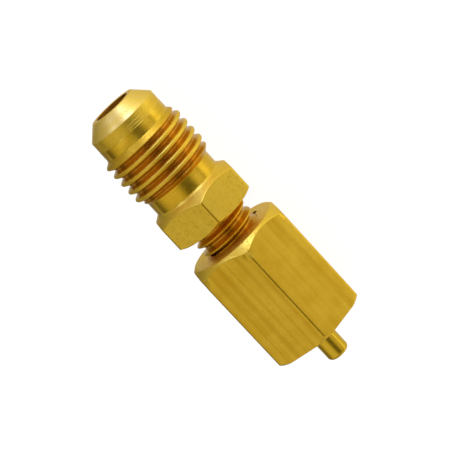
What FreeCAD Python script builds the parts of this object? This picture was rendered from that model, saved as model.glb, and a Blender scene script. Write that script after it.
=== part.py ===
import FreeCAD, Part
import math
import os

import Sketcher

# Cylinder needle valve in brass: a hex body that screws onto a gas cylinder, and a flare stem that
# screws into the body and feeds a needle through it. Millimetres. The axis is X, from the open
# socket at x = 0 to the flare nose at +X, and the body lies on one flat of its hexagon, at -Z.

DIMENSIONS = {
    "body_flats": (12.7, "hex body, across its flats"),
    "body_length": (15.4, "hex body, end to end"),
    "body_face_diameter": (12.0, "round flat that the top chamfer leaves"),
    "body_chamfer_angle": (41, "top chamfer, from the end face, degrees"),
    "body_bevel_diameter": (13.4, "circle at which the lower corners are turned off"),
    "socket_diameter": (9.0, "cylinder socket, core of its M10x1 thread"),
    "socket_depth": (4.3, "cylinder socket, to the web"),
    "socket_lead": (0.5, "lead at the socket's mouth"),
    "web_thickness": (0.9, "web between the socket and the seal bore"),
    "web_hole": (4.2, "hole in the web, the needle's passage"),
    "seal_bore": (6.8, "smooth seal bore below the M8 thread, of its core size"),
    "drill_angle": (59, "half angle of the drilled floors, degrees"),
    "body_thread_depth": (4.6, "M8 thread in the body, bored at its full diameter"),
    "shank_thread": (7.9, "M8 thread on the shank, over its crests"),
    "shank_pitch": (1.25, "M8 pitch, which is the feed for each turn"),
    "shank_thread_depth": (0.7, "depth of the shank's groove"),
    "flank_angle": (30, "flank of each thread, from square to the axis, degrees"),
    "radial_play": (0.05, "radial clearance between the two M8 threads"),
    "thread_shift": (1.08, "first groove of the shank above the body's top face, on the +Y side"),
    "shank_relief": (0.6, "undercut between the shank thread and the hexagon"),
    "relief_depth": (0.05, "how far the undercut goes below the groove of the shank thread"),
    "engaged_length": (2.4, "shank thread inside the body at rest"),
    "rest_gap": (3.25, "body's top face to the stem's hexagon at rest"),
    "stem_flats": (11.1, "stem hexagon, across its flats"),
    "stem_hex_length": (4.8, "stem hexagon, with both chamfers"),
    "stem_upper_angle": (36, "chamfer towards the neck, from the end face, degrees"),
    "stem_lower_angle": (30, "chamfer towards the shank, from the end face, degrees"),
    "stem_under_face": (11.0, "round flat under the stem's hexagon"),
    "neck_diameter": (9.36, "relief neck behind the flare thread"),
    "neck_length": (1.9, "relief neck"),
    "flare_thread": (11.0, "7/16-20 UNF thread, over its crests"),
    "flare_pitch": (1.27, "20 threads to the inch"),
    "flare_thread_depth": (0.74, "depth of the flare thread's groove"),
    "flare_length": (7.0, "flare thread, with both shoulders"),
    "flare_shift": (0.27, "first groove below the thread's front shoulder, on the +Y side"),
    "nose_diameter": (9.46, "plain cylinder ahead of the flare thread"),
    "nose_length": (2.7, "plain cylinder ahead of the flare thread"),
    "nose_face": (6.1, "flat ring at the end of the flare cone"),
    "stem_bore": (4.8, "gas bore through the stem, 3/16 inch"),
    "spigot_diameter": (6.4, "spigot that carries the sealing ring"),
    "spigot_length": (5.2, "spigot, from its end to the shank thread"),
    "seal_land": (0.45, "land between the spigot's end and the seal groove"),
    "seal_groove_width": (1.1, "groove of the stem's sealing ring"),
    "seal_groove_floor": (4.95, "diameter at the floor of the seal groove"),
    "seal_clearance": (0.03, "sealing ring to the seal bore and to the groove's floor"),
    "seal_side_play": (0.05, "sealing ring to each side of its groove"),
    "needle_diameter": (3.0, "needle, and the seat it is pressed into"),
    "needle_seat": (5.2, "length of the needle's seat in the stem"),
    "needle_reach": (4.65, "needle beyond the body's socket end at rest"),
    "needle_round": (0.55, "rounded edge at the needle's tip"),
    "needle_bore": (1.6, "blind gas bore in the needle"),
    "needle_port": (1.2, "cross hole that lets the gas into the needle"),
    "port_offset": (0.9, "spigot's end to the middle of the cross hole"),
    "gasket_thickness": (0.8, "flat sealing ring in the socket"),
    "gasket_hole": (5.0, "hole of the sealing ring"),
    "gasket_play": (0.1, "sealing ring to the socket's wall, all round"),
    "edge_break": (0.25, "small edge breaks"),
    "cutter_reach": (1.0, "how far a turning cut runs out past the metal"),
    "cutter_lead": (0.5, "least turns that a thread cutter makes before its thread"),
    "groove_gap": (0.1, "end of the shank's groove to the hexagon"),
}

# Places and radii worked out from the dimensions. The body's are measured from its socket end, the
# stem's from the spigot's end and the needle's from its tip.
BODY_PLACES = {
    "corner": "dims.body_flats / sqrt(3)",
    "outside": "body.corner + dims.cutter_reach",
    "face": "dims.body_face_diameter / 2",
    "chamfer_low": "dims.body_length - (body.outside - body.face) * tan(dims.body_chamfer_angle)",
    "bevel": "dims.body_bevel_diameter / 2",
    "bevel_high": "body.outside - body.bevel",
    "socket": "dims.socket_diameter / 2",
    "socket_mouth": "body.socket + dims.socket_lead",
    "web_high": "dims.socket_depth + dims.web_thickness",
    "web": "dims.web_hole / 2",
    "bore": "dims.seal_bore / 2",
    "bore_floor": "body.web_high + (body.bore - body.web) / tan(dims.drill_angle)",
    "thread": "dims.shank_thread / 2 + dims.radial_play",
    "thread_low": "dims.body_length - dims.body_thread_depth",
    "bore_high": "body.thread_low - (body.thread - body.bore) / tan(dims.drill_angle)",
    "gasket": "body.socket - dims.gasket_play",
    "gasket_hole": "dims.gasket_hole / 2",
    "gasket_low": "dims.socket_depth - dims.gasket_thickness",
}
STEM_PLACES = {
    "start": "dims.body_length - dims.engaged_length - dims.spigot_length",
    "spigot": "dims.spigot_diameter / 2",
    "groove_high": "dims.seal_land + dims.seal_groove_width",
    "groove_floor": "dims.seal_groove_floor / 2",
    "seal_low": "dims.seal_land + dims.seal_side_play",
    "seal_high": "stem.groove_high - dims.seal_side_play",
    "seal_inside": "stem.groove_floor + dims.seal_clearance",
    "seal_outside": "dims.seal_bore / 2 - dims.seal_clearance",
    "shank": "dims.shank_thread / 2",
    "shank_root": "stem.shank - dims.shank_thread_depth",
    "shank_low": "dims.spigot_length + stem.shank - stem.spigot",
    "hex_low": "dims.spigot_length + dims.engaged_length + dims.rest_gap",
    "relief": "stem.shank_root - dims.relief_depth",
    "relief_low": "stem.hex_low - dims.shank_relief",
    "hex_high": "stem.hex_low + dims.stem_hex_length",
    "corner": "dims.stem_flats / sqrt(3)",
    "outside": "stem.corner + dims.cutter_reach",
    "under": "dims.stem_under_face / 2",
    "under_high": "stem.hex_low + (stem.outside - stem.under) * tan(dims.stem_lower_angle)",
    "neck": "dims.neck_diameter / 2",
    "upper_low": "stem.hex_high - (stem.outside - stem.neck) * tan(dims.stem_upper_angle)",
    "neck_high": "stem.hex_high + dims.neck_length",
    "flare": "dims.flare_thread / 2",
    "flare_root": "stem.flare - dims.flare_thread_depth",
    "flare_low": "stem.neck_high + stem.flare - stem.neck",
    "flare_end": "stem.neck_high + dims.flare_length",
    "nose": "dims.nose_diameter / 2",
    "flare_high": "stem.flare_end - stem.flare + stem.nose",
    "nose_high": "stem.flare_end + dims.nose_length",
    "nose_face": "dims.nose_face / 2",
    "nose_end": "stem.nose_high + stem.nose - stem.nose_face",
    "bore": "dims.stem_bore / 2",
    "seat": "dims.needle_diameter / 2",
    "seat_cone": "dims.needle_seat + (stem.bore - stem.seat) / tan(dims.drill_angle)",
    "shank_turns": "ceil((dims.engaged_length + dims.thread_shift) / dims.shank_pitch + dims.cutter_lead)",
    "shank_groove": "dims.spigot_length + dims.engaged_length + dims.thread_shift"
                    " - stem.shank_turns * dims.shank_pitch",
    "flare_room": "dims.flare_length + dims.neck_length - dims.flare_shift",
    "flare_turns": "floor(stem.flare_room / dims.flare_pitch - dims.cutter_lead)",
    "flare_groove": "stem.flare_end - dims.flare_shift - stem.flare_turns * dims.flare_pitch",
    "flare_rise": "(stem.flare_turns + 1) * dims.flare_pitch",
}
THREAD_PLACES = {
    "slope": "tan(dims.flank_angle)",
    "shank_out": "stem.shank + dims.radial_play",
    "shank_half": "(thread.shank_out - stem.shank_root) * thread.slope",
    "shank_wide_near": "stem.shank_groove - thread.shank_half",
    "shank_wide_far": "stem.shank_groove + thread.shank_half",
    "shank_rise": "stem.hex_low - dims.groove_gap - thread.shank_half - stem.shank_groove",
    "flare_out": "stem.flare + dims.radial_play",
    "flare_half": "(thread.flare_out - stem.flare_root) * thread.slope",
    "flare_wide_near": "stem.flare_groove - thread.flare_half",
    "flare_wide_far": "stem.flare_groove + thread.flare_half",
}
FEED_PLACES = {
    "start": "-dims.needle_reach",
    "far": "dims.needle_reach + stem.start + dims.needle_seat",
    "side": "dims.needle_diameter / 2",
    "side_edge": "feed.side - dims.edge_break",
    "far_edge": "feed.far - dims.edge_break",
    "port": "dims.needle_reach + stem.start - dims.port_offset",
    "port_side": "dims.needle_port / 2",
    "bore": "dims.needle_bore / 2",
    "bore_floor": "feed.port - feed.port_side - dims.edge_break",
    "bore_point": "feed.bore_floor - feed.bore / tan(dims.drill_angle)",
}

# Two places or radii closer than this are the same one.
NEAR_ENOUGH = 1e-4

doc = FreeCAD.newDocument("needle_valve")
sheets = {}


def add_sheet(name, cells):
    """A sheet of named cells: plain numbers for the driving sizes, formulas for what follows."""
    sheet = doc.addObject("Spreadsheet::Sheet", name)
    for row, (alias, content, note) in enumerate(cells, start=1):
        sheet.set(f"A{row}", alias)
        sheet.set(f"B{row}", content)
        sheet.set(f"C{row}", note)
        sheet.setAlias(f"B{row}", alias)
    sheets[name] = sheet
    doc.recompute()


def add_places(name, formulas):
    add_sheet(name, [(alias, "=" + formula, "") for alias, formula in formulas.items()])


def value(cell):
    """The number in a cell that is written as sheet.alias; a plain 0 stands for the axis."""
    if cell == "0":
        return 0.0
    name, alias = cell.split(".")
    return float(sheets[name].get(alias))


def new_body(label, start=None):
    """A body along the X axis, moved along it to a place from the sheets."""
    body = doc.addObject("PartDesign::Body", label)
    body.Label = label
    if start:
        body.setExpression("Placement.Base.x", start)
    return body


def origin_part(body, role):
    return next(part for part in body.Origin.OriginFeatures if part.Role == role)


def new_sketch(body, name, plane):
    sketch = body.newObject("Sketcher::SketchObject", name)
    sketch.AttachmentSupport = [(origin_part(body, plane), "")]
    sketch.MapMode = "FlatFace"
    return sketch


def bind(sketch, kind, corner, cell):
    """Ties one coordinate of a sketch's corner to a cell."""
    index = sketch.addConstraint(Sketcher.Constraint(kind, -1, 1, corner, 1, value(cell)))
    if cell != "0":
        sketch.setExpression(f"Constraints[{index}]", cell)


def add_outline(sketch, corners):
    """A closed outline of straight edges. Each corner is (place along the axis, radius)."""
    first = sketch.GeometryCount
    points = [FreeCAD.Vector(value(along), value(radius), 0) for along, radius in corners]
    for start, end in zip(points, points[1:] + points[:1]):
        sketch.addGeometry(Part.LineSegment(start, end), False)
    for index, (along, radius) in enumerate(corners):
        edge = first + index
        following = first + (index + 1) % len(corners)
        sketch.addConstraint(Sketcher.Constraint("Coincident", edge, 2, following, 1))
        bind(sketch, "DistanceX", edge, along)
        bind(sketch, "DistanceY", edge, radius)


def turn(body, name, kind, *outlines):
    """Turns outlines about the axis: kind is Revolution to add metal and Groove to take it off."""
    sketch = new_sketch(body, name + "_profile", "XY_Plane")
    for corners in outlines:
        add_outline(sketch, corners)
    feature = body.newObject("PartDesign::" + kind, name)
    feature.Profile = sketch
    feature.ReferenceAxis = (origin_part(body, "X_Axis"), [""])
    feature.Angle = 360
    sketch.Visibility = False
    return feature


def add_hexagon(body, name, flats, low, length):
    """A hexagonal prism with flats facing up and down."""
    sketch = new_sketch(body, name + "_section", "YZ_Plane")
    sketch.setExpression("AttachmentOffset.Base.z", low)
    radius = value(flats) / math.sqrt(3)
    turns = [math.radians(60 * step) for step in range(6)]
    corners = [FreeCAD.Vector(radius * math.cos(turn), radius * math.sin(turn), 0) for turn in turns]
    for start, end in zip(corners, corners[1:] + corners[:1]):
        sketch.addGeometry(Part.LineSegment(start, end), False)
    centre = FreeCAD.Vector(0, 0, 0)
    circle = sketch.addGeometry(Part.Circle(centre, FreeCAD.Vector(0, 0, 1), radius), True)
    sketch.addConstraint(Sketcher.Constraint("Coincident", circle, 3, -1, 1))
    for edge in range(6):
        sketch.addConstraint(Sketcher.Constraint("Coincident", edge, 2, (edge + 1) % 6, 1))
        sketch.addConstraint(Sketcher.Constraint("PointOnObject", edge, 1, circle))
    for edge in range(1, 6):
        sketch.addConstraint(Sketcher.Constraint("Equal", 0, edge))
    sketch.addConstraint(Sketcher.Constraint("Horizontal", 1))
    size = sketch.addConstraint(Sketcher.Constraint("Radius", circle, radius))
    sketch.setExpression(f"Constraints[{size}]", f"{flats} / sqrt(3)")
    pad = body.newObject("PartDesign::Pad", name)
    pad.Profile = sketch
    pad.setExpression("Length", length)
    sketch.Visibility = False
    return pad


def cut_thread(body, name, corners, pitch, rise):
    """Cuts a right-hand helical groove whose section is the outline of the corners."""
    doc.recompute()
    sketch = new_sketch(body, name + "_section", "XY_Plane")
    add_outline(sketch, corners)
    groove = body.newObject("PartDesign::SubtractiveHelix", name)
    groove.Profile = sketch
    groove.ReferenceAxis = (origin_part(body, "X_Axis"), [""])
    groove.Mode = "pitch-height-angle"
    groove.setExpression("Pitch", pitch)
    groove.setExpression("Height", rise)
    groove.Angle = 0
    groove.LeftHanded = False
    groove.Reversed = False
    sketch.Visibility = False
    return groove


def round_edge(body, name, base, along, radius, size):
    """Rounds the circular edge at one place along the axis."""
    doc.recompute()
    for number, edge in enumerate(base.Shape.Edges, start=1):
        if not isinstance(edge.Curve, Part.Circle):
            continue
        off_place = abs(edge.Curve.Center.x - value(along))
        off_size = abs(edge.Curve.Radius - value(radius))
        if max(off_place, off_size) < NEAR_ENOUGH:
            fillet = body.newObject("PartDesign::Fillet", name)
            fillet.Base = (base, [f"Edge{number}"])
            fillet.setExpression("Radius", size)
            return fillet
    raise RuntimeError(f"{name}: no edge to round")


def make_hex_body():
    """The hex body: chamfered bar, socket, web, drilled seal bore and the bore of its M8 thread."""
    body = new_body("hex_body")
    add_hexagon(body, "body_bar", "dims.body_flats", "0", "dims.body_length")
    turn(
        body, "body_ends", "Groove",
        [
            ("dims.body_length", "body.face"),
            ("dims.body_length", "body.outside"),
            ("body.chamfer_low", "body.outside"),
        ],
        [
            ("0", "body.bevel"),
            ("body.bevel_high", "body.outside"),
            ("0", "body.outside"),
        ],
    )
    turn(
        body, "body_bores", "Groove",
        [
            ("0", "0"),
            ("0", "body.socket_mouth"),
            ("dims.socket_lead", "body.socket"),
            ("dims.socket_depth", "body.socket"),
            ("dims.socket_depth", "body.web"),
            ("body.web_high", "body.web"),
            ("body.bore_floor", "body.bore"),
            ("body.bore_high", "body.bore"),
            ("body.thread_low", "body.thread"),
            ("dims.body_length", "body.thread"),
            ("dims.body_length", "0"),
        ],
    )
    return body


def make_flare_stem():
    """The flare stem: spigot, M8 shank, hexagon, relief neck, flare thread, nose and gas bore."""
    body = new_body("flare_stem", "stem.start")
    turn(
        body, "stem_blank", "Revolution",
        [
            ("0", "0"),
            ("0", "stem.spigot"),
            ("dims.seal_land", "stem.spigot"),
            ("dims.seal_land", "stem.groove_floor"),
            ("stem.groove_high", "stem.groove_floor"),
            ("stem.groove_high", "stem.spigot"),
            ("dims.spigot_length", "stem.spigot"),
            ("stem.shank_low", "stem.shank"),
            ("stem.relief_low", "stem.shank"),
            ("stem.relief_low", "stem.relief"),
            ("stem.hex_low", "stem.relief"),
            ("stem.hex_low", "stem.neck"),
            ("stem.neck_high", "stem.neck"),
            ("stem.flare_low", "stem.flare"),
            ("stem.flare_high", "stem.flare"),
            ("stem.flare_end", "stem.nose"),
            ("stem.nose_high", "stem.nose"),
            ("stem.nose_end", "stem.nose_face"),
            ("stem.nose_end", "0"),
        ],
    )
    add_hexagon(body, "stem_hexagon", "dims.stem_flats", "stem.hex_low", "dims.stem_hex_length")
    turn(
        body, "stem_chamfers", "Groove",
        [
            ("stem.hex_low", "stem.under"),
            ("stem.under_high", "stem.outside"),
            ("stem.hex_low", "stem.outside"),
        ],
        [
            ("stem.hex_high", "stem.neck"),
            ("stem.hex_high", "stem.outside"),
            ("stem.upper_low", "stem.outside"),
        ],
    )
    turn(
        body, "stem_bores", "Groove",
        [
            ("0", "0"),
            ("0", "stem.seat"),
            ("dims.needle_seat", "stem.seat"),
            ("stem.seat_cone", "stem.bore"),
            ("stem.nose_end", "stem.bore"),
            ("stem.nose_end", "0"),
        ],
    )
    cut_thread(
        body, "shank_thread",
        [
            ("stem.shank_groove", "stem.shank_root"),
            ("thread.shank_wide_far", "thread.shank_out"),
            ("thread.shank_wide_near", "thread.shank_out"),
        ],
        "dims.shank_pitch", "thread.shank_rise",
    )
    cut_thread(
        body, "flare_thread",
        [
            ("stem.flare_groove", "stem.flare_root"),
            ("thread.flare_wide_far", "thread.flare_out"),
            ("thread.flare_wide_near", "thread.flare_out"),
        ],
        "dims.flare_pitch", "stem.flare_rise",
    )
    return body


def make_needle():
    """The needle: pressed into the stem, solid at its rounded tip, with a cross hole for the gas."""
    body = new_body("needle", "feed.start")
    rod = turn(
        body, "needle_rod", "Revolution",
        [
            ("0", "0"),
            ("0", "feed.side"),
            ("feed.far_edge", "feed.side"),
            ("feed.far", "feed.side_edge"),
            ("feed.far", "feed.bore"),
            ("feed.bore_floor", "feed.bore"),
            ("feed.bore_point", "0"),
        ],
    )
    round_edge(body, "needle_tip", rod, "0", "feed.side", "dims.needle_round")
    doc.recompute()
    sketch = new_sketch(body, "needle_port_section", "XY_Plane")
    centre = FreeCAD.Vector(value("feed.port"), 0, 0)
    hole = Part.Circle(centre, FreeCAD.Vector(0, 0, 1), value("feed.port_side"))
    circle = sketch.addGeometry(hole, False)
    sketch.addConstraint(Sketcher.Constraint("PointOnObject", circle, 3, -1))
    place = sketch.addConstraint(Sketcher.Constraint("DistanceX", -1, 1, circle, 3, value("feed.port")))
    size = sketch.addConstraint(Sketcher.Constraint("Radius", circle, value("feed.port_side")))
    sketch.setExpression(f"Constraints[{place}]", "feed.port")
    sketch.setExpression(f"Constraints[{size}]", "feed.port_side")
    port = body.newObject("PartDesign::Pocket", "needle_port")
    port.Profile = sketch
    port.Midplane = True
    port.Type = "ThroughAll"
    sketch.Visibility = False
    return body


def make_stem_seal():
    """The square-cut sealing ring in the spigot's groove."""
    body = new_body("stem_seal", "stem.start")
    turn(
        body, "seal_ring", "Revolution",
        [
            ("stem.seal_low", "stem.seal_inside"),
            ("stem.seal_high", "stem.seal_inside"),
            ("stem.seal_high", "stem.seal_outside"),
            ("stem.seal_low", "stem.seal_outside"),
        ],
    )
    return body


def make_gasket():
    """The flat sealing ring at the floor of the socket."""
    body = new_body("socket_gasket")
    turn(
        body, "gasket_ring", "Revolution",
        [
            ("body.gasket_low", "body.gasket_hole"),
            ("dims.socket_depth", "body.gasket_hole"),
            ("dims.socket_depth", "body.gasket"),
            ("body.gasket_low", "body.gasket"),
        ],
    )
    return body


def check_document():
    """Stops at the first object that FreeCAD has marked as failed."""
    for item in doc.Objects:
        if {"Invalid", "Error"} & set(item.State):
            raise RuntimeError(f"{item.Label} failed: {item.State}")


def write_pieces(pieces):
    """Checks each piece's solid and writes it to its own file."""
    for piece in pieces:
        shape = piece.Shape
        if shape.isNull() or not shape.isValid() or len(shape.Solids) != 1:
            raise RuntimeError(f"{piece.Label} isn't one valid solid")
    os.makedirs("parts", exist_ok=True)
    for piece in pieces:
        piece.Shape.exportStep(f"parts/{piece.Label}.step")
        print(f"{piece.Label}: {piece.Shape.Volume:.2f} mm3")


add_sheet("dims", [(alias, str(number), note) for alias, (number, note) in DIMENSIONS.items()])
add_places("body", BODY_PLACES)
add_places("stem", STEM_PLACES)
add_places("thread", THREAD_PLACES)
add_places("feed", FEED_PLACES)

pieces = [make_hex_body(), make_flare_stem(), make_needle(), make_stem_seal(), make_gasket()]
doc.recompute()
check_document()
write_pieces(pieces)
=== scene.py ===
"""A cylinder needle valve in turned and drawn brass, lying on one flat of its hexagonal body."""

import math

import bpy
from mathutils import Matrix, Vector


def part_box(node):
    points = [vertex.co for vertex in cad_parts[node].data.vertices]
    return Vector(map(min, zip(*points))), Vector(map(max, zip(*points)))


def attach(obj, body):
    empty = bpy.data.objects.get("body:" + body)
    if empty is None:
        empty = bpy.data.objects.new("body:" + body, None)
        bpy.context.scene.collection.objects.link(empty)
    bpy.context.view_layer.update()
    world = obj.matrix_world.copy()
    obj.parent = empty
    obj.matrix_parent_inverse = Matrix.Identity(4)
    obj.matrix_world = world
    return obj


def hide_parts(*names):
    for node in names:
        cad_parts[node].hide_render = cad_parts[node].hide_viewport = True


bl_info = {
    "name": "Cylinder needle valve",
    "version": (1, 0, 0),
    "blender": (4, 5, 0),
    "location": "View3D > Sidebar > Needle valve",
    "description": "Models the brass pieces of a cylinder needle valve, its seals and its studio",
    "category": "Object",
}

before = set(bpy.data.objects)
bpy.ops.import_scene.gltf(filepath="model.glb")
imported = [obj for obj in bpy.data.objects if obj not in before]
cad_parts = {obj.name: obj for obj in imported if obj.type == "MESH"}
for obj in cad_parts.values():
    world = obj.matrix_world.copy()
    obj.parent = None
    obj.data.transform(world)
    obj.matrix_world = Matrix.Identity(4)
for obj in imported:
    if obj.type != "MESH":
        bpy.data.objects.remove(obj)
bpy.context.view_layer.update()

MM = 0.001
BODY_LOW, BODY_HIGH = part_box("hex_body")
STEM_LOW, STEM_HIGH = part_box("flare_stem")
NEEDLE_LOW, NEEDLE_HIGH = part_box("needle")
SEAL_LOW, SEAL_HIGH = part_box("stem_seal")
GASKET_LOW, GASKET_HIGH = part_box("socket_gasket")

# The body and the stem are spun in this many columns, a multiple of the hexagon's six sides.
COLUMNS = 192
# What is round all over takes fewer.
ROUND_COLUMNS = 96
SIDE = math.radians(60)
FULL_TURN = 2 * math.pi
FLANK_SLOPE = math.tan(math.radians(30))
AXIS = (1, 0, 0)
WHITE = (1, 1, 1, 1)
# Points nearer than this are merged, which closes a spun piece.
SEAM_GAP = 0.0005 * MM
# Edges that turn by more than this stay sharp.
SMOOTH_ANGLE = math.radians(40)
# Room between the feed thread in the body and the stem's crests.
THREAD_SLACK = 0.05 * MM
# A surface within a hair of a size is at that size.
HAIR = 0.02 * MM
# How far a face's normal leans along the axis where it still looks sideways, and where it looks endways.
SIDEWAYS, ENDWAYS = 0.12, 0.95
# How far round from the middle of a flat a normal may turn and still be on it.
FLAT_TURN = math.radians(7)

# Streaks and tool marks of the brass, in repeats for each metre across them and along or round them.
DRAWN_STREAKS = (1300.0, 22.0)
DRAWN_MARKS = 90.0
TURNED_STREAKS = (1500.0, 60.0)
TURNED_MARKS = 150.0
PATCH_SCALE = 350.0
SCRATCH_SCALES = (5200.0, 900.0)
SCRATCH_LEANS = (40, -55)
# Strengths of the patterns between which scratches, deeper colour and duller streaks come in.
SCRATCH_RANGE = (0.58, 0.74)
TONE_RANGE = (0.8, 1.22)
POLISH_RANGE = (0.3, 0.7)
POLISH_LEAST, POLISH_MOST = 0.85, 1.15
# What streaks and scratches count in the height, beside the tool marks, and scratches in the roughness.
STREAK_HEIGHT = 0.6
SCRATCH_HEIGHT = 1.6
SCRATCH_DULLING = -0.45

# Directions are a turn round the valve's axis, 90 up and 180 to the camera's right, and a rise towards
# the nose, in degrees. A patch of sky: turn, rise, inner and outer half width, change of strength.
SKY_PATCHES = (
    (185, 12, 18, 50, 0.13),
    (168, -12, 8, 18, 0.22),
    (68, -24, 10, 40, 0.28),
    (62, 16, 8, 30, -0.14),
    (-8, 0, 18, 42, -0.34),
    (128, -10, 10, 28, -0.36),
    (120, 90, 10, 40, 0.26),
)
SKY_LEAST = 0.02
# An area lamp: name, turn, rise, distance and size in metres, brightness of its surface.
LAMPS = (
    ("nose_lamp", 172, 68, 0.35, 0.17, 3.3),
    ("far_lamp", 60, 58, 0.35, 0.09, 2.6),
)
LAMP_TARGET = 16.7 * MM
LAMP_COLOUR = (0.76, 1.06, 5.5)
# The bright parts of the sky are cooler: from which strength to which, and their colour.
COOL_FROM, COOL_TO = 0.62, 1.0
COOL_COLOUR = (0.95, 1.0, 2.4)
# The sheet lies a hair below the body, and its middle is near the valve's, in metres.
SHEET_RADIUS = 0.6
SHEET_MIDDLE = 0.015
SHEET_DROP = 0.02 * MM
# Painted light and shadow on the sheet as the metal sees it, from the camera's side to the far side: a pool
# of light on the camera's side and a painted shadow just past the valve. Place in metres, glow.
FLOOR_GLOW = (
    (-0.12, 0.27), (-0.055, 0.52), (-0.034, 0.95), (-0.02, 0.90), (-0.012, 0.60), (0.008, 0.44), (0.02, 0.08),
    (0.032, 0.08), (0.05, 0.24),
)
FLOOR_REACH = 0.15
# Ahead of the nose a painted pool of light makes it brighter: where that begins and ends, in metres, and the
# strength at each.
FLOOR_AHEAD = (0.035, 0.075)
FLOOR_STRENGTH = (1.6, 2.4)
FLOOR_COLOUR = (0.96, 1.0, 1.25)
CAMERA_GLOW = 1.25


def sky_direction(turn, rise):
    """The way to a point of the sky, from its turn and rise in degrees."""
    turn, rise = math.radians(turn), math.radians(rise)
    return Vector((math.sin(rise), math.cos(rise) * math.cos(turn), math.cos(rise) * math.sin(turn)))


def length(name, description, default):
    return bpy.props.FloatProperty(
        name=name, description=description, default=default * MM, unit="LENGTH", precision=5
    )


def angle(name, description, default):
    return bpy.props.FloatProperty(
        name=name, description=description, default=math.radians(default), subtype="ANGLE"
    )


def share(name, description, default, most=1.0):
    return bpy.props.FloatProperty(
        name=name, description=description, default=default, min=0.0, max=most
    )


def colour(name, description, default):
    return bpy.props.FloatVectorProperty(
        name=name, description=description, default=default, subtype="COLOR", min=0.0, max=1.0
    )


class HexBodySizes(bpy.types.PropertyGroup):
    face_diameter: length("Top face", "Round flat that the top chamfer leaves", 12.0)
    chamfer: angle("Top chamfer", "Chamfer from the top face", 41)
    bevel_diameter: length("Corner bevel", "Circle at which the lower corners are turned off", 13.4)
    socket: length("Socket", "Diameter of the cylinder socket", 9.0)
    socket_depth: length("Socket depth", "Depth of the socket to the web", 4.3)
    socket_lead: length("Socket lead", "Lead at the socket's mouth", 0.5)
    socket_pitch: length("Socket pitch", "Pitch of the socket's thread", 1.0)
    socket_root: length("Socket root", "Flat at the root of the socket's thread", 0.12)
    socket_thread: length("Socket thread", "Length of the socket's thread, short of the gasket", 3.4)
    web: length("Web", "Thickness of the web between socket and seal bore", 0.9)
    web_hole: length("Web hole", "Hole in the web for the needle", 4.2)
    seal_bore: length("Seal bore", "Smooth bore that the sealing ring slides in", 6.8)
    mouth: length("Mouth", "Diameter over the notch where the feed thread starts in the top face", 8.9)
    notch: angle("Notch", "Where the feed thread starts", 228)
    notch_width: angle("Notch width", "Half width of that notch", 7)
    edge: length("Corner round", "Radius of the bar's long corners", 0.3)


class FlareStemSizes(bpy.types.PropertyGroup):
    flare: length("Flare thread", "Diameter over the flare thread's crests", 11.0)
    flare_pitch: length("Flare pitch", "Pitch of the flare thread", 1.27)
    flare_depth: length("Flare depth", "Depth of the flare thread", 0.74)
    flare_root: length("Flare root", "Flat at the root of the flare thread", 0.14)
    # Plain brass keeps to this band; deeper in, the flanks get darker brass as painted shade.
    unshaded_band: length("Crest band", "Clean outer part of the flare thread's flanks", 0.22)
    flare_length: length("Flare length", "Length of the flare thread", 7.0)
    flare_shift: length("Flare start", "First groove below the thread's front shoulder", 0.27)
    nose: length("Nose", "Diameter of the nose", 9.46)
    nose_length: length("Nose length", "Straight part of the nose", 2.7)
    nose_line: length("Nose line", "Tool line on the nose, ahead of the flare thread", 1.32)
    nose_rings: length("Nose rings", "Distance from that line to each of the two finer rings", 0.36)
    nose_face: length("Nose face", "Flat ring at the end of the flare cone", 6.1)
    bore: length("Gas bore", "Bore through the stem", 4.8)
    neck: length("Neck", "Relief neck behind the flare thread", 9.36)
    neck_length: length("Neck length", "Length of the relief neck", 1.9)
    neck_foot: length("Neck foot", "Slope between the neck and the hexagon's chamfer", 0.35)
    foot_angle: angle("Foot angle", "Angle of that slope from the axis", 40)
    hexagon: length("Hexagon", "Hexagon across its flats", 11.1)
    hexagon_length: length("Hexagon length", "Hexagon with both chamfers", 4.8)
    upper_chamfer: angle("Upper chamfer", "Chamfer towards the neck", 36)
    lower_chamfer: angle("Lower chamfer", "Chamfer towards the shank", 30)
    under_face: length("Under face", "Round flat under the hexagon", 11.0)
    shank: length("Shank", "Diameter over the feed thread's crests", 7.9)
    shank_pitch: length("Feed pitch", "Pitch of the feed thread", 1.25)
    shank_depth: length("Feed depth", "Depth of the feed thread", 0.7)
    shank_root: length("Feed root", "Flat at the root of the feed thread", 0.28)
    shank_shift: length("Feed start", "First shank groove above the body's top face", 1.08)
    relief: length("Undercut", "Undercut between the feed thread and the hexagon", 0.6)
    gap: length("Gap", "Body's top face to the hexagon at rest", 3.25)
    engaged: length("Engaged", "Feed thread inside the body at rest", 2.4)
    spigot: length("Spigot", "Spigot that carries the sealing ring", 6.4)
    groove_floor: length("Seal groove", "Diameter at the floor of the seal groove", 4.95)
    groove_land: length("Seal land", "Land between the spigot's end and the seal groove", 0.45)
    groove_width: length("Groove width", "Width of the seal groove", 1.1)
    seat: length("Needle seat", "Depth of the needle's seat", 5.2)
    lip: length("Bore lip", "Broken edge where the gas bore meets the nose", 0.04)
    edge: length("Corner round", "Radius of the hexagon's corners", 0.26)


class NeedleSizes(bpy.types.PropertyGroup):
    round: length("Tip", "Rounded edge at the tip", 0.55)
    bore: length("Bore", "Blind gas bore from the inner end", 1.6)
    port: length("Port", "Cross hole that lets the gas in", 1.2)
    port_offset: length("Port offset", "Stem's inner end to the middle of the port", 0.9)


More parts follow.
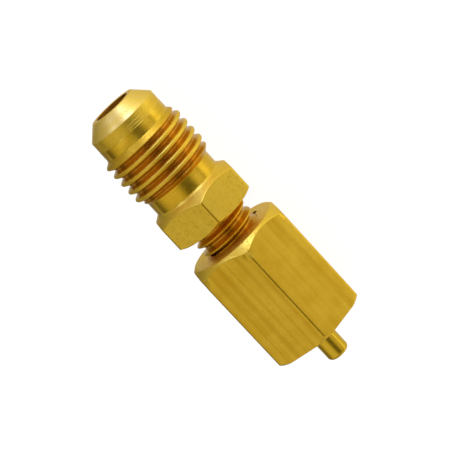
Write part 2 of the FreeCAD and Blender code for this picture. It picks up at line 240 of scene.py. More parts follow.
class BrassLook(bpy.types.PropertyGroup):
    light: colour("Brass", "Clean brass", (0.88, 0.54, 0.032))
    deep: colour("Deep brass", "Darker patches of the brass", (0.76, 0.43, 0.016))
    fresh: colour("Fresh brass", "Brass on the dull turned faces", (0.90, 0.59, 0.04))
    # Painted highlight: paler, bluer brass across the flare cone, so that the cone's highlight reads whiter.
    cone_highlight: colour("Pale brass", "Brass of the flare cone, faced last", (0.92, 0.63, 0.10))
    handled: colour("Handled brass", "Brass on the stem's hexagon", (0.84, 0.55, 0.042))
    # Painted shade: darker brass for the needle, which sits in the body's shade; the shoulder's painted shade
    # uses it too.
    shade_brass: colour("Ground brass", "Brass of the needle", (0.72, 0.44, 0.02))
    # Painted shade: darker, redder brass for the thread grooves, standing in for the shade inside them.
    thread_shade: colour("Threaded brass", "Brass in the threads", (0.66, 0.33, 0.02))
    # Painted highlight: a paler line of brass along the thread roots, where the groove bottoms catch the
    # light.
    root_highlight: colour("Root brass", "Bright line along the roots of the threads", (0.82, 0.48, 0.08))
    # Painted shade: very dark brass inside the bores and the body's threaded mouth.
    bore_shade: colour("Bored brass", "Brass inside the bores", (0.42, 0.16, 0.008))
    drawn_roughness: share("Drawn finish", "Roughness of the drawn flats", 0.40)
    turned_roughness: share("Turned finish", "Roughness of the shiny turned faces", 0.26)
    ground_roughness: share("Ground finish", "Roughness of the needle", 0.20)
    threaded_roughness: share("Threaded finish", "Roughness in the grooves of the threads", 0.24)
    faced_roughness: share("Faced finish", "Roughness of the dull turned faces", 0.40)
    rubber: colour("Rubber", "Colour of the seals", (0.022, 0.022, 0.024))


class StudioLook(bpy.types.PropertyGroup):
    sheet: colour("Sheet", "White sheet that the valve lies on", (0.93, 0.93, 0.93))
    sheet_glow: share("Sheet glow", "Share of the sheet that glows by itself, against its shadows", 0.75)
    sky: share("Sky", "Strength of the light from all round", 0.46, 5.0)
    distance: length("Camera distance", "Camera to the middle of the picture", 197.3)
    middle: length("Picture middle", "Place along the valve at the middle of the picture", 16.84)
    aside: length("Aside", "How far the valve's axis lies to the left of the middle", 0.35)
    rise: angle("Camera rise", "How far the camera stands towards the flare nose", 12.4)
    tilt: angle("Camera tilt", "How far the camera stands up from the floor", 60.0)
    roll: angle("Roll", "Turn of the valve's axis from upright in the picture", 42.8)
    field: angle("Field", "Width of the camera's view", 15.68)


def blend_min(one, two, soft):
    """The smaller of two radii, with the edge where they meet rounded over."""
    near = max(soft - abs(one - two), 0.0) / soft
    return min(one, two) - near * near * soft / 4


def blend_max(one, two, soft):
    """The larger of two radii, with the corner between them filled."""
    return -blend_min(-one, -two, soft)


def gather_columns(turn):
    """Draws the columns towards the hexagon's six corners, where they are needed."""
    side = math.floor(turn / SIDE)
    along = (turn - side * SIDE) / (SIDE / 2) - 1
    return (side + 0.5) * SIDE + SIDE / 2 * math.sin(math.pi / 2 * along)


def hexagon_radius(turn, flats, soft):
    """Distance from the axis to a hexagon whose corners lie at 0, 60, 120 degrees and so on."""
    off_face = abs(turn % SIDE - SIDE / 2)
    near_face = flats / 2 / math.cos(off_face)
    next_face = flats / 2 / math.cos(SIDE - off_face)
    return blend_min(near_face, next_face, soft)


def groove_offset(along, turn, groove, pitch):
    """Distance along the axis to the nearest turn of a right-hand groove."""
    turns = (along - groove) / pitch - turn / FULL_TURN
    return abs(turns - round(turns)) * pitch


def soften(points, radius, steps=3, most=0.4):
    """The outline with each corner rounded by a short curve. Points are (along the axis, radius).

    A curve takes up at most that share of the shorter edge beside it.
    """
    rounded = []
    for index, corner in enumerate(points):
        corner = Vector(corner)
        before = Vector(points[index - 1]) - corner
        after = Vector(points[(index + 1) % len(points)]) - corner
        reach = min(radius, most * before.length, most * after.length)
        start = corner + before.normalized() * reach
        end = corner + after.normalized() * reach
        for step in range(steps + 1):
            part = step / steps
            rounded.append(start * (1 - part) ** 2 + corner * 2 * part * (1 - part) + end * part ** 2)
    return rounded


def refine(points, zones):
    """Splits the outline's edges where finer rows are wanted.

    A zone is (low, high, row height, least radius, greatest radius).
    """
    fine = []
    for start, end in zip(points, points[1:] + points[:1]):
        start, end = Vector(start), Vector(end)
        cuts = {0.0}
        run = end.x - start.x
        middle = (start.y + end.y) / 2
        for low, high, height, inner, outer in zones:
            inside_low = max(low, min(start.x, end.x))
            inside_high = min(high, max(start.x, end.x))
            if inner < middle < outer and inside_high - inside_low > height:
                count = math.ceil((inside_high - inside_low) / height)
                for step in range(count + 1):
                    place = inside_low + (inside_high - inside_low) * step / count
                    part = (place - start.x) / run
                    if 0.0 < part < 1.0:
                        cuts.add(part)
        fine.extend(start.lerp(end, part) for part in sorted(cuts))
    return fine


def select_nothing():
    if bpy.context.object and bpy.context.object.mode != "OBJECT":
        bpy.ops.object.mode_set(mode="OBJECT")
    bpy.ops.object.select_all(action="DESELECT")


def draw_outline(name, points, closed=True):
    """An outline above the X axis, drawn by extruding one point from corner to corner."""
    select_nothing()
    bpy.ops.mesh.primitive_plane_add(size=MM, location=(points[0][0], points[0][1], 0))
    piece = bpy.context.active_object
    piece.name = piece.data.name = name
    bpy.ops.object.mode_set(mode="EDIT")
    bpy.ops.mesh.select_mode(type="VERT")
    bpy.ops.mesh.select_all(action="SELECT")
    bpy.ops.mesh.merge(type="CENTER")
    following = points[1:] + points[:1] if closed else points[1:]
    for start, end in zip(points, following):
        step = (end[0] - start[0], end[1] - start[1], 0)
        bpy.ops.mesh.extrude_region_move(TRANSFORM_OT_translate={"value": step})
    return piece


def turn_piece(name, points, columns=COLUMNS, closed=True):
    """The outline spun in edit mode round the X axis, with its seam and poles closed."""
    piece = draw_outline(name, points, closed)
    bpy.ops.mesh.select_all(action="SELECT")
    bpy.ops.mesh.spin(steps=columns, angle=FULL_TURN, center=(0, 0, 0), axis=(1, 0, 0))
    bpy.ops.mesh.select_all(action="SELECT")
    bpy.ops.mesh.remove_doubles(threshold=SEAM_GAP)
    bpy.ops.mesh.normals_make_consistent(inside=False)
    bpy.ops.object.mode_set(mode="OBJECT")
    bpy.ops.object.transform_apply(location=True, rotation=True, scale=True)
    return piece


def cut_surface(piece, radius_at):
    """Moves each point of a spun piece in or out: radius_at(along, turn, radius) says how far."""
    for point in piece.data.vertices:
        along, across, up = point.co
        radius = math.hypot(across, up)
        if radius == 0:
            continue
        turn = gather_columns(math.atan2(up, across) % FULL_TURN)
        radius = radius_at(along, turn, radius)
        point.co = (along, radius * math.cos(turn), radius * math.sin(turn))


def mark_finish(piece, choose):
    """Gives each face a material slot: choose(along, radius, normal) returns its number."""
    for face in piece.data.polygons:
        centre = face.center
        face.material_index = choose(centre.x, math.hypot(centre.y, centre.z), face.normal)


def finish_piece(piece, body, node, slot, *materials):
    """Smooth shading, finishes, and the tie to the body and the node. The slot is not used."""
    bpy.ops.object.shade_smooth_by_angle(angle=SMOOTH_ANGLE)
    for material in materials:
        piece.data.materials.append(material)
    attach(piece, body)
    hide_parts(node)


def new_material(name):
    """A material, with its node tree and its main shader."""
    material = bpy.data.materials.new(name)
    material.use_nodes = True
    tree = material.node_tree
    return material, tree, tree.nodes["Principled BSDF"]


def feed(tree, source, entry):
    """Links an input to the socket that feeds it, or sets it to a value."""
    if isinstance(source, bpy.types.NodeSocket):
        tree.links.new(source, entry)
    else:
        entry.default_value = source


def fill(tree, node, entries):
    """Feeds a node's inputs by their names."""
    for key, source in entries.items():
        feed(tree, source, node.inputs[key])


def add_node(tree, kind, **settings):
    """A new node. Each setting is an input, fed by a value or a socket, or a property."""
    node = tree.nodes.new(kind)
    for key, setting in settings.items():
        if key in node.inputs:
            feed(tree, setting, node.inputs[key])
        else:
            setattr(node, key, setting)
    return node


def add_math(tree, operation, *terms, kind="Math", result="Value"):
    """The result of a Math or Vector Math node whose terms are values or sockets."""
    node = add_node(tree, "ShaderNode" + kind, operation=operation)
    for term, entry in zip(terms, node.inputs):
        feed(tree, term, entry)
    return node.outputs[result]


def add_noise(tree, place, detail, scale=1.0, rough=0.5):
    """A noise pattern at the coordinates of place."""
    noise = add_node(tree, "ShaderNodeTexNoise", Vector=place, Scale=scale, Detail=detail, Roughness=rough)
    return noise.outputs["Fac"]


def map_range(tree, value, start, end, into=(0.0, 1.0), **settings):
    """A value between start and end, brought into another range and kept inside it."""
    node = add_node(tree, "ShaderNodeMapRange", Value=value, **settings)
    fill(tree, node, {"From Min": start, "From Max": end, "To Min": into[0], "To Max": into[1]})
    return node.outputs["Result"]


def mix_numbers(tree, factor, first, second):
    """The first of two numbers where the factor is 0, and the second where it is 1."""
    mix = add_node(tree, "ShaderNodeMix", data_type="FLOAT", Factor=factor, A=first, B=second)
    return mix.outputs["Result"]


def mix_colours(tree, factor, first, second):
    """Two colours mixed in the same way, each of them four numbers or a socket."""
    mix = add_node(tree, "ShaderNodeMix", data_type="RGBA", Factor=factor)
    entries = [socket for socket in mix.inputs if socket.type == "RGBA"]
    for tone, entry in zip((first, second), entries):
        feed(tree, tone, entry)
    return next(socket for socket in mix.outputs if socket.type == "RGBA")


def turning_place(tree, place, scale, around):
    """Coordinates of a lathe's marks: along the axis, out from it, and slowly round it."""
    across = add_math(tree, "MULTIPLY", place, (0, 1, 1), kind="VectorMath", result="Vector")
    radius = add_math(tree, "LENGTH", across, kind="VectorMath")
    split = add_node(tree, "ShaderNodeSeparateXYZ", Vector=place).outputs
    join = add_node(tree, "ShaderNodeCombineXYZ", X=split["X"], Y=radius, Z=split["Y"])
    stretch = add_node(
        tree, "ShaderNodeMapping", Vector=join.outputs["Vector"], Scale=(scale, scale, around)
    )
    return stretch.outputs["Vector"]


def drawing_place(tree, place, scale, along, turn=0.0):
    """Coordinates of marks drawn out along the bar, or turned from it on the side that faces the camera."""
    lean = add_node(tree, "ShaderNodeMapping", Vector=place, Rotation=(-SIDE / 2, 0, turn))
    stretch = add_node(
        tree, "ShaderNodeMapping", Vector=lean.outputs["Vector"], Scale=(along, scale, scale)
    )
    return stretch.outputs["Vector"]


def groove_direction(tree, place, drawn):
    """The way the tool marks run: along the bar where it is drawn, round the axis where turned."""
    run = AXIS
    if not drawn:
        run = add_math(tree, "CROSS_PRODUCT", AXIS, place, kind="VectorMath", result="Vector")
    in_world = add_node(
        tree, "ShaderNodeVectorTransform",
        Vector=run, vector_type="VECTOR", convert_from="OBJECT", convert_to="WORLD",
    )
    return in_world.outputs["Vector"]


def brass_material(name, light, deep, rough, drawn, marks_scale, marks_depth, grain, worn):
    """Brass with the lengthwise lines of drawn bar, or the fine rings that a lathe leaves."""
    material, tree, shader = new_material(name)
    place = add_node(tree, "ShaderNodeTexCoord").outputs["Object"]
    if drawn:
        wide = drawing_place(tree, place, *DRAWN_STREAKS)
        fine = drawing_place(tree, place, marks_scale, DRAWN_MARKS)
    else:
        wide = turning_place(tree, place, *TURNED_STREAKS)
        fine = turning_place(tree, place, marks_scale, TURNED_MARKS)
    # Broad patches and narrower streaks of slightly deeper colour, and the tool's own marks.
    patches = add_noise(tree, place, scale=PATCH_SCALE, detail=3.0, rough=0.6)
    streaks = add_noise(tree, wide, detail=4.0, rough=0.65)
    marks = add_noise(tree, fine, detail=3.0, rough=0.6)
    # Short handling scratches, aslant one way and the other. They are below zero.
    aslant = [
        add_noise(tree, drawing_place(tree, place, *SCRATCH_SCALES, math.radians(lean)), detail=2.0)
        for lean in SCRATCH_LEANS
    ]
    scratches = map_range(tree, add_math(tree, "MAXIMUM", *aslant), *SCRATCH_RANGE, into=(0.0, -worn))
    tone = add_math(tree, "ADD", add_math(tree, "ADD", patches, streaks), scratches)
    polish = map_range(tree, streaks, *POLISH_RANGE, into=(rough * POLISH_LEAST, rough * POLISH_MOST))
    height = add_math(tree, "MULTIPLY_ADD", streaks, STREAK_HEIGHT, marks)
    height = add_math(tree, "MULTIPLY_ADD", scratches, SCRATCH_HEIGHT, height)
    bump = add_node(tree, "ShaderNodeBump", Strength=1.0, Distance=marks_depth, Height=height)
    fill(tree, shader, {
        "Base Color": mix_colours(tree, map_range(tree, tone, *TONE_RANGE), (*light, 1), (*deep, 1)),
        "Metallic": 1.0,
        "Roughness": add_math(tree, "MULTIPLY_ADD", scratches, SCRATCH_DULLING, polish),
        "Normal": bump.outputs["Normal"],
        "Tangent": groove_direction(tree, place, drawn),
        "Anisotropic": grain,
        "Anisotropic Rotation": 0.25,
        "Specular Tint": (1.0, 0.95, 0.7, 1),
    })
    return material


def rubber_material(look):
    """Matte moulded rubber with a fine grain."""
    material, tree, shader = new_material("seal_rubber")
    place = add_node(tree, "ShaderNodeTexCoord").outputs["Object"]
    grain = add_noise(tree, place, scale=9000.0, detail=4.0)
    bump = add_node(tree, "ShaderNodeBump", Strength=0.3, Distance=0.01 * MM, Height=grain)
    fill(tree, shader, {
        "Base Color": (*look.rubber, 1),
        "Roughness": map_range(tree, grain, 0.0, 1.0, into=(0.55, 0.75)),
        "Normal": bump.outputs["Normal"],
    })
    return material


def brass_finishes(look):
    """The brass materials, in the order of the pieces' material slots."""
    dull = look.faced_roughness
    turned = look.turned_roughness
    drawn = look.drawn_roughness
    grooved = look.threaded_roughness
    # Name, lighter and deeper colour, roughness, whether drawn, marks for each metre and their depth in
    # metres, how much the gloss runs along the marks, and how scratched it is.
    finishes = (
        ("turned_brass", look.light, look.deep, turned, False, 6000.0, 2.6e-6, 0.7, 0.25),
        ("drawn_brass", look.light, look.deep, drawn, True, 5000.0, 2.0e-6, 0.7, 0.4),
        ("handled_brass", look.handled, look.light, drawn, True, 3000.0, 1.5e-6, 0.5, 0.9),
        ("faced_brass", look.fresh, look.light, dull, False, 4500.0, 4.0e-6, 0.35, 0.8),
        # Very dark brass painted as shade inside the bores.
        ("bore_shade_brass", look.bore_shade, look.bore_shade, dull, False, 3000.0, 1.0e-6, 0.7, 0.0),
        # Darker brass painted as shade in the thread grooves.
        ("thread_shade_brass", look.thread_shade, look.thread_shade, grooved, False, 9000.0, 1.5e-6, 0.7, 0.3),
        # The needle's brass is darkened as painted shade.
        ("needle_shade_brass", look.shade_brass, look.deep, look.ground_roughness, False, 9000.0, 1.0e-6, 0.5, 0.5),
        # Paler brass painted as a highlight along the thread roots.
        ("root_highlight_brass", look.root_highlight, look.thread_shade, turned, False, 9000.0, 1.5e-6, 0.7, 0.0),
        # Paler brass painted as a highlight on the flare cone.
        ("cone_highlight_brass", look.cone_highlight, look.fresh, dull, False, 4500.0, 4.0e-6, 0.35, 0.5),
        # A darker, duller brass painted as shade on the flare thread's front shoulder and on the nose's end
        # face.
        ("shaded_brass", look.shade_brass, look.deep, dull, False, 4500.0, 3.0e-6, 0.35, 0.5),
    )
    for name, *looks in finishes:
        if name not in bpy.data.materials:
            brass_material(name, *looks)
    return [bpy.data.materials[name] for name, *_ in finishes]


# Several slots hold painted light: the bores, the threads, the needle and the shoulder get darker brass as
# painted shade, and the thread roots and the flare cone get paler brass as painted highlights.
TURNED, DRAWN, HANDLED, FACED, BORE_SHADE, THREAD_SHADE, NEEDLE_SHADE, ROOT_HIGHLIGHT, CONE_HIGHLIGHT, SHADED = range(10)


def on_flat(normal):
    """Whether a face lies on a flat of the hexagon, and not on its rounded corners or ends."""
    off_face = abs(math.atan2(normal.z, normal.y) % SIDE - SIDE / 2)
    return abs(normal.x) < SIDEWAYS and off_face < FLAT_TURN


class VALVE_OT_hex_body(bpy.types.Operator):
    """The drawn hexagonal body: round chamfered top, threaded mouth and cylinder socket"""

    bl_idname = "valve.hex_body"
    bl_label = "Hex body"

    def execute(self, context):
        sizes = context.scene.valve_body
        stem = context.scene.valve_stem
        top = BODY_HIGH.x
        flats = 2 * BODY_HIGH.z
        beyond = BODY_HIGH.y + MM
        face = sizes.face_diameter / 2
        bevel = sizes.bevel_diameter / 2
        socket = sizes.socket / 2
        lead = socket + sizes.socket_lead
        bore = sizes.seal_bore / 2
        hole = sizes.web_hole / 2
        mouth = sizes.mouth / 2
        web_top = sizes.socket_depth + sizes.web
        thread = stem.shank / 2 + THREAD_SLACK
        thread_low = top - 4.6 * MM
        notch_low = top - 0.3 * MM
        edge = 0.05 * MM
        flat_edge = 0.08 * MM
        # From the top face over the outside to the socket, and back up through the bores.
        corners = [
            (top, face),
            (top - (beyond - face) * math.tan(sizes.chamfer), beyond),
            (beyond - bevel, beyond),
            (0, bevel),
            (0, lead),
            (sizes.socket_lead, socket),
            (sizes.socket_depth, socket),
            (sizes.socket_depth, hole),
            (web_top, hole),
            (web_top + (bore - hole) * FLANK_SLOPE, bore),
            (top, bore),
        ]
        # Finer rows where the chamfer and the bevel meet the flats, and in both threads.
        fine = 0.025 * MM
        bevel_row = 1.2 * fine
        thread_row = 1.6 * fine
        chamfer_low = top - 0.9 * MM
        chamfer_high = top - 0.1 * MM
        bevel_high = 0.8 * MM
        zones = [
            (chamfer_low, chamfer_high, fine, mouth, beyond),
            (0.0, bevel_high, bevel_row, lead, beyond),
            (thread_low, top, thread_row, 0.0, mouth),
            (0.0, sizes.socket_thread, thread_row, 0.0, lead),
        ]
        piece = turn_piece("hex_body_shell", refine(soften(corners, edge), zones))
        groove = top + stem.shank_shift - stem.shank_pitch / 2
        crest_half = stem.shank_pitch / 2 - stem.shank_depth * FLANK_SLOPE
        run_out = sizes.socket_thread - sizes.socket_lead

        def body_radius(along, turn, radius):
            if along < sizes.socket_thread and radius < lead:
                offset = groove_offset(along, turn, 0, sizes.socket_pitch)
                flank = max(offset - sizes.socket_root / 2, 0.0) / FLANK_SLOPE
                return max(radius, lead - flank - max(along - run_out, 0.0))
            if radius > mouth:
                foot = max(edge - along, 0.0) / edge
                bar = hexagon_radius(turn, flats, sizes.edge) - edge * foot * foot
                return blend_min(radius, bar, flat_edge)
            if along < thread_low:
                return radius
            if along > notch_low and abs(turn - sizes.notch) < sizes.notch_width:
                return mouth
            offset = groove_offset(along, turn, groove, stem.shank_pitch)
            cut = thread - max(offset - crest_half, 0.0) / FLANK_SLOPE
            return max(radius, cut)

        cut_surface(piece, body_radius)

        def body_finish(along, radius, normal):
            # Inside the body's mouth and bores the brass is darkened as painted shade.
            if radius < mouth and normal.x < ENDWAYS:
                return BORE_SHADE
            # The socket's thread gets darker brass as painted shade in its grooves.
            if along < sizes.socket_depth and radius < lead - HAIR:
                return THREAD_SHADE
            if normal.x > SIDEWAYS:
                return FACED
            return DRAWN if on_flat(normal) else TURNED

        finish_piece(piece, "body", "hex_body", "body_brass", *brass_finishes(context.scene.valve_brass))
        mark_finish(piece, body_finish)
        return {"FINISHED"}


class VALVE_OT_flare_stem(bpy.types.Operator):
    """The flare stem: nose, flare thread, neck, hexagon, feed thread and spigot"""

    bl_idname = "valve.flare_stem"
    bl_label = "Flare stem"

    def execute(self, context):
        sizes = context.scene.valve_stem
        low = STEM_LOW.x
        top = STEM_HIGH.x
        nose = sizes.nose / 2
        nose_face = sizes.nose_face / 2
        nose_high = top - (nose - nose_face)
        flare_end = nose_high - sizes.nose_length
        nose_line = flare_end + sizes.nose_line
        flare = sizes.flare / 2
        flare_root = flare - sizes.flare_depth
        flare_low = flare_end - sizes.flare_length
        shoulder_low = flare_end - (flare - nose)
        neck = sizes.neck / 2
        hex_high = flare_low - sizes.neck_length
        hex_low = hex_high - sizes.hexagon_length
        beyond = sizes.hexagon / 2 / math.cos(SIDE / 2) + MM
        under = sizes.under_face / 2
        shank = sizes.shank / 2
        shank_root = shank - sizes.shank_depth
        shank_high = hex_low - sizes.relief
        shank_low = hex_low - sizes.gap - sizes.engaged
        spigot = sizes.spigot / 2
        floor = sizes.groove_floor / 2
        land = low + sizes.groove_land
        land_high = land + sizes.groove_width
        seat = NEEDLE_HIGH.y
        bore = sizes.bore / 2
        foot = sizes.neck_foot
        foot_high = 0.3 * foot
        foot_low = foot_high - foot * math.cos(sizes.foot_angle)
        foot_out = foot * math.sin(sizes.foot_angle)
        # Ahead of its tool line the nose is a little smaller, with two finer rings.
        front_nose = nose - 0.03 * MM
        ring = 0.04 * MM
        rings = []
        for place in (nose_line + 2 * sizes.nose_rings, nose_line + sizes.nose_rings):
            rings += [(place + ring, front_nose), (place, front_nose - ring), (place - ring, front_nose)]
        # From the nose over the outside to the spigot, and back up through the bore.
        corners = [
            (top, nose_face),
            (nose_high, front_nose),
            *rings,
            (nose_line, front_nose),
            (nose_line - ring, nose),
            (flare_end, nose),
            (shoulder_low, flare),
            (flare_low + (flare - neck), flare),
            (flare_low, neck),
            (hex_high + foot_high, neck),
            (hex_high + foot_low, neck + foot_out),
            (hex_high - (beyond - neck) * math.tan(sizes.upper_chamfer), beyond),
            (hex_low + (beyond - under) * math.tan(sizes.lower_chamfer), beyond),
            (hex_low, under),
            (hex_low, shank_root),
            (shank_high, shank_root),
            (shank_high, shank),
            (shank_low + (shank - spigot), shank),
            (shank_low, spigot),
            (land_high, spigot),
            (land_high, floor),
            (land, floor),
            (land, spigot),
            (low, spigot),
            (low, seat),
            (low + sizes.seat, seat),
            (low + sizes.seat + (bore - seat) * FLANK_SLOPE, bore),
            (top - sizes.lip, bore),
            (top, bore + sizes.lip),
        ]
        # Finer rows in both threads, and where the chamfers meet the hexagon's flats.
        row = 0.04 * MM
        fine = 0.6 * row
        upper_low = hex_high - 1.4 * MM
        upper_high = hex_high - 0.5 * MM
        lower_high = hex_low + 0.65 * MM
        zones = [
            (flare_low, flare_end, row, spigot, beyond),
            (shank_low, shank_high, row, spigot, beyond),
            (upper_low, upper_high, fine, spigot, beyond),
            (hex_low, lower_high, fine, spigot, beyond),
        ]
        edge = 0.05 * MM
        piece = turn_piece("flare_stem_shell", refine(soften(corners, edge), zones))
        flare_groove = flare_end - sizes.flare_shift
        shank_groove = BODY_HIGH.x + sizes.shank_shift
        flat_edge = 0.07 * MM
        root_round = 0.2 * MM
        crest_round = 0.15 * MM

        def stem_radius(along, turn, radius):
            if radius < spigot:
                return radius
            if hex_low < along < hex_high:
                bar = hexagon_radius(turn, sizes.hexagon, sizes.edge)
                return blend_min(radius, bar, flat_edge)
            if flare_low < along < flare_end + sizes.flare_pitch:
                offset = groove_offset(along, turn, flare_groove, sizes.flare_pitch)
                root, root_half = flare_root, sizes.flare_root / 2
            elif shank_low < along <= hex_low:
                offset = groove_offset(along, turn, shank_groove, sizes.shank_pitch)
                root, root_half = shank_root, sizes.shank_root / 2
            else:
                return radius
            flank = root + (offset - root_half) / FLANK_SLOPE
            return blend_min(radius, blend_max(root, flank, root_round), crest_round)

        cut_surface(piece, stem_radius)
        # Below this radius the flare thread's roots get the painted highlight.
        root_highlight_edge = flare_root + 0.05 * MM
        shank_crest = shank - 0.045 * MM
        cone_low = nose_high - 0.1 * MM

        def stem_finish(along, radius, normal):
            # The gas bore gets very dark brass as painted shade.
            if radius < bore + HAIR:
                return BORE_SHADE
            if hex_low < along < hex_high:
                if on_flat(normal):
                    return HANDLED
                return FACED if abs(normal.x) > SIDEWAYS else TURNED
            if flare_low < along < flare_end:
                # The front shoulder gets darker brass as painted shade.
                if along > shoulder_low:
                    return SHADED
                # The flare thread's roots get paler brass as a painted highlight.
                if radius < root_highlight_edge:
                    return ROOT_HIGHLIGHT
                # Plain brass on the crest band, darker brass as painted shade further into the groove.
                return FACED if radius > flare - sizes.unshaded_band else THREAD_SHADE
            if along < hex_low:
                # On the feed thread all but the crests get darker brass as painted shade.
                return FACED if radius > shank_crest else THREAD_SHADE
            # The nose's end face gets darker brass as painted shade.
            if normal.x > ENDWAYS and along > nose_high:
                return SHADED
            # The flare cone gets paler brass as a painted highlight.
            if along > cone_low:
                return CONE_HIGHLIGHT
            return FACED if along > nose_line else TURNED

        finish_piece(piece, "stem", "flare_stem", "stem_brass", *brass_finishes(context.scene.valve_brass))
        mark_finish(piece, stem_finish)
        return {"FINISHED"}


class VALVE_OT_needle(bpy.types.Operator):
    """The needle: a rod with a rounded tip, a blind bore and a cross hole"""

    bl_idname = "valve.needle"
    bl_label = "Needle"

    def execute(self, context):
        sizes = context.scene.valve_needle
        low, high = NEEDLE_LOW.x, NEEDLE_HIGH.x
        side = NEEDLE_HIGH.y
        bore = sizes.bore / 2
        bevel = 0.25 * MM
        port = STEM_LOW.x - sizes.port_offset
        past_port = 0.25 * MM
        floor = port - sizes.port / 2 - past_port
        steps = 8
        turns = [step * math.pi / (2 * steps) for step in range(steps + 1)]
        tip = [
            (low + sizes.round * (1 - math.cos(turn)), side - sizes.round * (1 - math.sin(turn)))
            for turn in turns
        ]
        shaft = [
            (high - bevel, side),
            (high, side - bevel),
            (high, bore),
            (floor, bore),
            (floor - bore * FLANK_SLOPE, 0),
        ]
        piece = turn_piece("needle_rod", [(low, 0)] + tip + shaft, ROUND_COLUMNS, closed=False)
        select_nothing()
        bpy.ops.mesh.primitive_cylinder_add(
            vertices=48, radius=sizes.port / 2, depth=3 * side, location=(port, 0, 0)
        )
        drill = bpy.context.active_object
        select_nothing()
        context.view_layer.objects.active = piece
        piece.select_set(True)
        hole = piece.modifiers.new("port", "BOOLEAN")
        hole.object = drill
        hole.operation = "DIFFERENCE"
        hole.solver = "EXACT"
        bpy.ops.object.modifier_apply(modifier=hole.name)
        bpy.data.objects.remove(drill)
        # The needle gets the darker brass painted as shade.
        shade_brass = brass_finishes(context.scene.valve_brass)[NEEDLE_SHADE]
        finish_piece(piece, "stem", "needle", "needle_brass", shade_brass)
        return {"FINISHED"}


class VALVE_OT_seals(bpy.types.Operator):
    """The two rubber rings: the stem's sealing ring and the gasket in the socket"""

    bl_idname = "valve.seals"
    bl_label = "Seals"

    def execute(self, context):
        seal_hole = 2.505 * MM
        gasket_hole = 2.5 * MM
        edge = 0.12 * MM
        rings = [
            ("stem_seal_ring", SEAL_LOW, SEAL_HIGH, seal_hole, "seal", "stem_seal"),
            ("socket_gasket_ring", GASKET_LOW, GASKET_HIGH, gasket_hole, "body", "socket_gasket"),
        ]
        rubber = rubber_material(context.scene.valve_brass)
        for name, low, high, inside, body, node in rings:
            corners = [(low.x, inside), (high.x, inside), (high.x, high.y), (low.x, high.y)]
            piece = turn_piece(name, soften(corners, edge), ROUND_COLUMNS)
            finish_piece(piece, body, node, "seal_rubber", rubber)
        return {"FINISHED"}


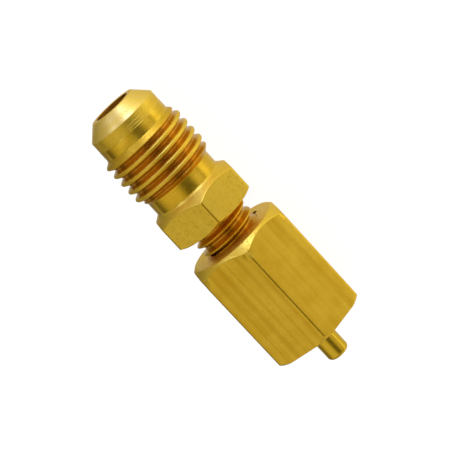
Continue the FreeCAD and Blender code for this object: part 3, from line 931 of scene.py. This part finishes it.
class VALVE_OT_studio(bpy.types.Operator):
    """The white sheet, the sky, the soft lamps and the camera"""

    bl_idname = "valve.studio"
    bl_label = "Studio"

    def execute(self, context):
        look = context.scene.valve_studio
        self.add_sheet(look)
        self.add_sky(context, look)
        self.add_lamps()
        self.add_camera(context, look)
        return {"FINISHED"}

    def add_sheet(self, look):
        """The camera sees the sheet white. The metal sees it darker, with painted light towards the camera
        and ahead of the nose, and a painted shadow darkest just past the valve.
        """
        select_nothing()
        place = (SHEET_MIDDLE, 0, BODY_LOW.z - SHEET_DROP)
        bpy.ops.mesh.primitive_circle_add(
            vertices=ROUND_COLUMNS, radius=SHEET_RADIUS, fill_type="NGON", location=place
        )
        bpy.ops.object.transform_apply(location=True, rotation=True, scale=True)
        sheet = bpy.context.active_object
        sheet.name = "studio_sheet"
        material, tree, shader = new_material("studio_white")
        fill(tree, shader, {"Base Color": (*look.sheet, 1), "Roughness": 0.9, "Specular IOR Level": 0.0})
        rays = add_node(tree, "ShaderNodeLightPath").outputs
        camera = rays["Is Camera Ray"]
        mirrored = add_math(tree, "MAXIMUM", rays["Is Glossy Ray"], rays["Is Transmission Ray"])
        seen = add_math(tree, "MAXIMUM", camera, mirrored)
        coordinates = add_node(tree, "ShaderNodeTexCoord").outputs["Object"]
        split = add_node(tree, "ShaderNodeSeparateXYZ", Vector=coordinates).outputs
        # Painted light and shadow that the metal sees on the sheet: brighter on the camera's side and ahead
        # of the nose, darkest just past the valve.
        across = map_range(tree, split["Y"], -FLOOR_REACH, FLOOR_REACH)
        side = add_node(tree, "ShaderNodeValToRGB", Fac=across)
        stops = side.color_ramp.elements
        while len(stops) < len(FLOOR_GLOW):
            stops.new(1.0)
        for stop, (spot, glow) in zip(stops, FLOOR_GLOW):
            stop.position = (spot + FLOOR_REACH) / (2 * FLOOR_REACH)
            stop.color = (glow, glow, glow, 1)
        ahead = map_range(tree, split["X"], *FLOOR_AHEAD, into=FLOOR_STRENGTH)
        reflected = add_math(tree, "MULTIPLY", side.outputs["Color"], ahead)
        emission = add_node(
            tree, "ShaderNodeEmission",
            Color=mix_colours(tree, camera, (*FLOOR_COLOUR, 1), WHITE),
            Strength=mix_numbers(tree, camera, reflected, CAMERA_GLOW),
        )
        mix = add_node(tree, "ShaderNodeMixShader", Fac=add_math(tree, "MULTIPLY", seen, look.sheet_glow))
        feed(tree, shader.outputs["BSDF"], mix.inputs[1])
        feed(tree, emission.outputs["Emission"], mix.inputs[2])
        feed(tree, mix.outputs["Shader"], tree.nodes["Material Output"].inputs["Surface"])
        sheet.data.materials.append(material)

    def add_sky(self, context, look):
        """Even white light, with brighter and darker patches as a studio has them."""
        world = bpy.data.worlds.new("studio_sky")
        context.scene.world = world
        world.use_nodes = True
        tree = world.node_tree
        place = add_node(tree, "ShaderNodeTexCoord").outputs["Generated"]
        total = look.sky
        for turn, rise, inner, outer, change in SKY_PATCHES:
            facing = add_math(tree, "DOT_PRODUCT", place, sky_direction(turn, rise), kind="VectorMath")
            rim, core = math.cos(math.radians(outer)), math.cos(math.radians(inner))
            patch = map_range(tree, facing, rim, core, into=(0.0, change), interpolation_type="SMOOTHSTEP")
            total = add_math(tree, "ADD", patch, total)
        light = add_math(tree, "MAXIMUM", total, SKY_LEAST)
        tint = mix_colours(tree, map_range(tree, light, COOL_FROM, COOL_TO), WHITE, (*COOL_COLOUR, 1))
        # The camera sees the sky as plain white as the sheet.
        camera = add_node(tree, "ShaderNodeLightPath").outputs["Is Camera Ray"]
        fill(tree, tree.nodes["Background"], {
            "Color": mix_colours(tree, camera, tint, WHITE),
            "Strength": mix_numbers(tree, camera, light, 1.0),
        })

    def add_lamps(self):
        target = Vector((LAMP_TARGET, 0, 0))
        for name, turn, rise, distance, size, glow in LAMPS:
            place = target + sky_direction(turn, rise) * distance
            select_nothing()
            bpy.ops.object.light_add(type="AREA", location=place)
            lamp = bpy.context.active_object
            lamp.name = name
            lamp.data.shape = "SQUARE"
            lamp.data.size = size
            lamp.data.energy = glow * math.pi * size * size
            lamp.data.color = LAMP_COLOUR
            lamp.visible_diffuse = False
            lamp.rotation_euler = (target - place).to_track_quat("-Z", "Y").to_euler()

    def add_camera(self, context, look):
        along = Vector(AXIS)
        toward = Vector((0, -math.cos(look.tilt), math.sin(look.tilt)))
        back = toward * math.cos(look.rise) + along * math.sin(look.rise)
        right = along.cross(toward)
        up = back.cross(right)
        target = Vector((look.middle, 0, 0)) + right * look.aside
        across = right * math.cos(look.roll) - up * math.sin(look.roll)
        upward = right * math.sin(look.roll) + up * math.cos(look.roll)
        select_nothing()
        bpy.ops.object.camera_add(location=target + back * look.distance)
        camera = bpy.context.active_object
        camera.name = "studio_camera"
        camera.rotation_euler = Matrix((across, upward, back)).transposed().to_euler()
        camera.data.sensor_fit = "HORIZONTAL"
        camera.data.angle = look.field
        camera.data.clip_start = 0.01
        context.scene.camera = camera
        context.scene.view_settings.view_transform = "Standard"


class VALVE_PT_panel(bpy.types.Panel):
    """Lists the valve's pieces and its studio"""

    bl_idname = "VALVE_PT_panel"
    bl_label = "Needle valve"
    bl_space_type = "VIEW_3D"
    bl_region_type = "UI"
    bl_category = "Needle valve"

    def draw(self, context):
        for kind in OPERATORS:
            self.layout.operator(kind.bl_idname)
        for name, _ in SETTINGS:
            settings = getattr(context.scene, name)
            box = self.layout.box()
            for key in settings.bl_rna.properties.keys():
                if key not in ("rna_type", "name"):
                    box.prop(settings, key)


OPERATORS = (
    VALVE_OT_hex_body,
    VALVE_OT_flare_stem,
    VALVE_OT_needle,
    VALVE_OT_seals,
    VALVE_OT_studio,
)
SETTINGS = (
    ("valve_body", HexBodySizes),
    ("valve_stem", FlareStemSizes),
    ("valve_needle", NeedleSizes),
    ("valve_brass", BrassLook),
    ("valve_studio", StudioLook),
)


def register():
    for name, group in SETTINGS:
        bpy.utils.register_class(group)
        setattr(bpy.types.Scene, name, bpy.props.PointerProperty(type=group))
    for kind in OPERATORS:
        bpy.utils.register_class(kind)
    bpy.utils.register_class(VALVE_PT_panel)


def unregister():
    bpy.utils.unregister_class(VALVE_PT_panel)
    for kind in reversed(OPERATORS):
        bpy.utils.unregister_class(kind)
    for name, group in reversed(SETTINGS):
        delattr(bpy.types.Scene, name)
        bpy.utils.unregister_class(group)


def main():
    """Models the valve and its studio."""
    register()
    bpy.ops.valve.hex_body()
    bpy.ops.valve.flare_stem()
    bpy.ops.valve.needle()
    bpy.ops.valve.seals()
    bpy.ops.valve.studio()


if __name__ == "__main__":
    main()
